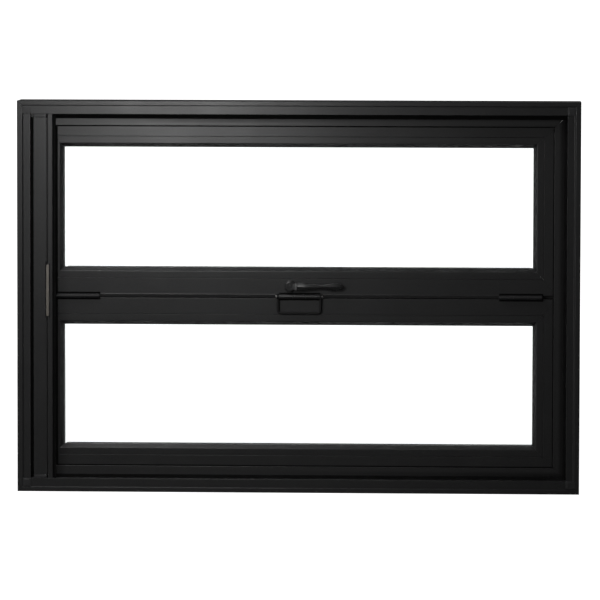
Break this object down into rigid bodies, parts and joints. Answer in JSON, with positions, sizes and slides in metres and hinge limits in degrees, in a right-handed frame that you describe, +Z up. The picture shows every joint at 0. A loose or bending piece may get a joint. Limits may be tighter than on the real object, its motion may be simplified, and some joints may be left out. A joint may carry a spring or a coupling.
{
  "type": "folding window",
  "caption": "Black-framed bi-fold window: two glazed sashes hinged at a middle seam, lever lock with side bolts, bail pull, and a side-pull roller insect screen.",
  "frame": {"origin": "middle of the underside of the frame's sill", "axes": "+X across the window to the viewer's right as seen from the room, +Y out of the room through the window, +Z up"},
  "size_m": [1.4, 0.115, 0.975],
  "materials": {
    "black_powder_coat": "satin black powder coat on aluminium",
    "black_hardware": "smooth satin black",
    "corner_block_black": "matt black",
    "black_rubber": "matt black seal",
    "steel": "plain steel",
    "brushed_pull": "bare brushed metal",
    "clear_glass": "clear",
    "black_nylon": "matt black",
    "screen_cloth": "fine black insect mesh"
  },
  "bodies": {
    "frame": {"frame_head": "black_powder_coat", "frame_sill": "black_powder_coat", "frame_jamb_left": "black_powder_coat", "frame_jamb_right": "black_powder_coat", "corner_block_top_left": "corner_block_black", "corner_block_top_right": "corner_block_black", "corner_block_bottom_left": "corner_block_black", "corner_block_bottom_right": "corner_block_black", "frame_gasket": "black_rubber", "screen_housing": "black_powder_coat", "screen_cap_top": "corner_block_black", "screen_cap_bottom": "corner_block_black", "screen_mesh": "screen_cloth", "top_hinge_frame_leaf": "black_hardware", "top_hinge_pin": "steel"},
    "upper_sash": {"upper_rail_top": "black_powder_coat", "upper_rail_bottom": "black_powder_coat", "upper_stile_left": "black_powder_coat", "upper_stile_right": "black_powder_coat", "upper_bead_top": "black_powder_coat", "upper_bead_bottom": "black_powder_coat", "upper_bead_left": "black_powder_coat", "upper_bead_right": "black_powder_coat", "upper_glass": "clear_glass", "upper_glazing_gasket": "black_rubber", "top_hinge_sash_leaf": "black_hardware", "lock_gearbox": "steel", "lever_rosette": "black_hardware", "meeting_seal": "black_rubber", "seam_hinge_left_upper_leaf": "black_hardware", "seam_hinge_centre_upper_leaf": "black_hardware", "seam_hinge_right_upper_leaf": "black_hardware"},
    "lower_sash": {"lower_rail_top": "black_powder_coat", "lower_rail_bottom": "black_powder_coat", "lower_stile_left": "black_powder_coat", "lower_stile_right": "black_powder_coat", "lower_bead_top": "black_powder_coat", "lower_bead_bottom": "black_powder_coat", "lower_bead_left": "black_powder_coat", "lower_bead_right": "black_powder_coat", "lower_glass": "clear_glass", "lower_glazing_gasket": "black_rubber", "seam_hinge_left_lower_leaf": "black_hardware", "seam_hinge_centre_lower_leaf": "black_hardware", "seam_hinge_right_lower_leaf": "black_hardware", "seam_hinge_left_pin": "steel", "seam_hinge_centre_pin": "steel", "seam_hinge_right_pin": "steel", "guide_bracket_left": "black_hardware", "guide_bracket_right": "black_hardware"},
    "lever": {"lever_handle": "black_hardware", "lever_spindle": "steel"},
    "bolt_left": {"bolt_left": "steel"},
    "bolt_right": {"bolt_right": "steel"},
    "bail": {"pull_bail": "black_hardware"},
    "guide_shoe_left": {"guide_shoe_left": "black_nylon"},
    "guide_shoe_right": {"guide_shoe_right": "black_nylon"},
    "screen_bar": {"screen_pull_bar": "black_powder_coat", "screen_finger_pull": "brushed_pull"},
    "screen_roller": {"screen_roller": "screen_cloth"}
  },
  "joints": [
    {"name": "fold", "type": "hinge", "parent": "frame", "child": "upper_sash", "pos_m": [0, 0.038, 0.918], "axis": [1, 0, 0], "range_deg": [0, 55]},
    {"name": "seam_hinge", "type": "hinge", "parent": "upper_sash", "child": "lower_sash", "pos_m": [0.001, -0.0217, 0.4875], "axis": [1, 0, 0], "range_deg": [-112, 2]},
    {"name": "guide_pivot_left", "type": "hinge", "parent": "lower_sash", "child": "guide_shoe_left", "pos_m": [-0.66, 0.038, 0.057], "axis": [1, 0, 0], "range_deg": [-2, 57]},
    {"name": "guide_pivot_right", "type": "hinge", "parent": "lower_sash", "child": "guide_shoe_right", "pos_m": [0.66, 0.038, 0.057], "axis": [1, 0, 0], "range_deg": [-2, 57]},
    {"name": "lever_turn", "type": "hinge", "parent": "upper_sash", "child": "lever", "pos_m": [-0.021, -0.0265, 0.513], "axis": [0, -1, 0], "range_deg": [0, 90]},
    {"name": "bolt_slide_left", "type": "slide", "parent": "upper_sash", "child": "bolt_left", "axis": [-1, 0, 0], "range_m": [-0.0005, 0.0148]},
    {"name": "bolt_slide_right", "type": "slide", "parent": "upper_sash", "child": "bolt_right", "axis": [1, 0, 0], "range_m": [-0.0005, 0.0148]},
    {"name": "bail_swing", "type": "hinge", "parent": "lower_sash", "child": "bail", "pos_m": [0.001, -0.0217, 0.4875], "axis": [1, 0, 0], "range_deg": [-18, 0]},
    {"name": "screen_slide", "type": "slide", "parent": "frame", "child": "screen_bar", "axis": [1, 0, 0], "range_m": [0, 1.27]},
    {"name": "screen_roll", "type": "hinge", "parent": "frame", "child": "screen_roller", "pos_m": [-0.644, -0.0405, 0.4875], "axis": [0, 0, 1], "range_deg": [-6100, 10]}
  ],
  "couplings": [
    {"joint": "seam_hinge", "follows": "fold", "ratio": -2},
    {"joint": "guide_pivot_left", "follows": "fold", "ratio": 1},
    {"joint": "guide_pivot_right", "follows": "fold", "ratio": 1},
    {"joint": "bolt_slide_left", "follows": "lever_turn", "m_per_rad": 0.009},
    {"joint": "bolt_slide_right", "follows": "lever_turn", "m_per_rad": 0.009},
    {"joint": "screen_roll", "follows": "screen_slide", "rad_per_m": -83.333}
  ]
}
